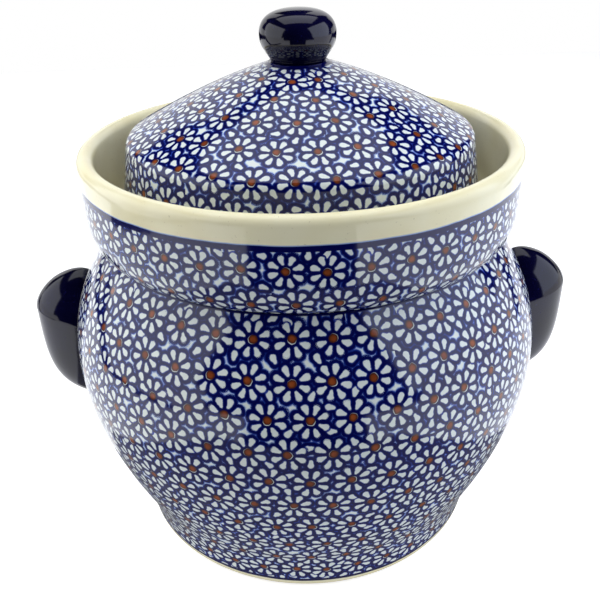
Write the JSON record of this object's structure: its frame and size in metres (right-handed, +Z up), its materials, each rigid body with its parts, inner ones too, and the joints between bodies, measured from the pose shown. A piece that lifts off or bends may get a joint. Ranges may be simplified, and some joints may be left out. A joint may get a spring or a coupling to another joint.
{
  "type": "fermentation crock",
  "caption": "Round-bellied glazed stoneware fermentation crock with a water moat at the rim, a drop-in domed lid with a knob, lug handles and half-moon weighting stones inside.",
  "frame": {"origin": "centre of the foot, at the height of the surface that the crock stands on", "axes": "+Z up along the axis of the crock, X through the two lug handles, Y across them"},
  "size_m": [0.2934, 0.25, 0.2745],
  "materials": {
    "stamped_glaze": "clear gloss glaze over stamped cobalt flowers on a pale body, ivory on the rim and inside",
    "cobalt_glaze": "plain deep cobalt gloss glaze",
    "bare_stoneware": "unglazed matt stoneware"
  },
  "bodies": {
    "crock": {"crock_body": "stamped_glaze", "neck_ring": "stamped_glaze", "moat_collar": "stamped_glaze", "handle_left": "cobalt_glaze", "handle_right": "cobalt_glaze"},
    "lid": {"lid_dome": "stamped_glaze", "lid_knob": "cobalt_glaze"},
    "left_stone": {"weight_left": "bare_stoneware"},
    "right_stone": {"weight_right": "bare_stoneware"}
  },
  "joints": [
    {"name": "lid_lift", "type": "slide", "parent": "crock", "child": "lid", "axis": [0, 0, 1], "range_m": [0, 0.1]},
    {"name": "left_stone_lift", "type": "slide", "parent": "crock", "child": "left_stone", "axis": [0, 0, 1], "range_m": [0, 0.175]},
    {"name": "right_stone_lift", "type": "slide", "parent": "crock", "child": "right_stone", "axis": [0, 0, 1], "range_m": [0, 0.175]}
  ]
}
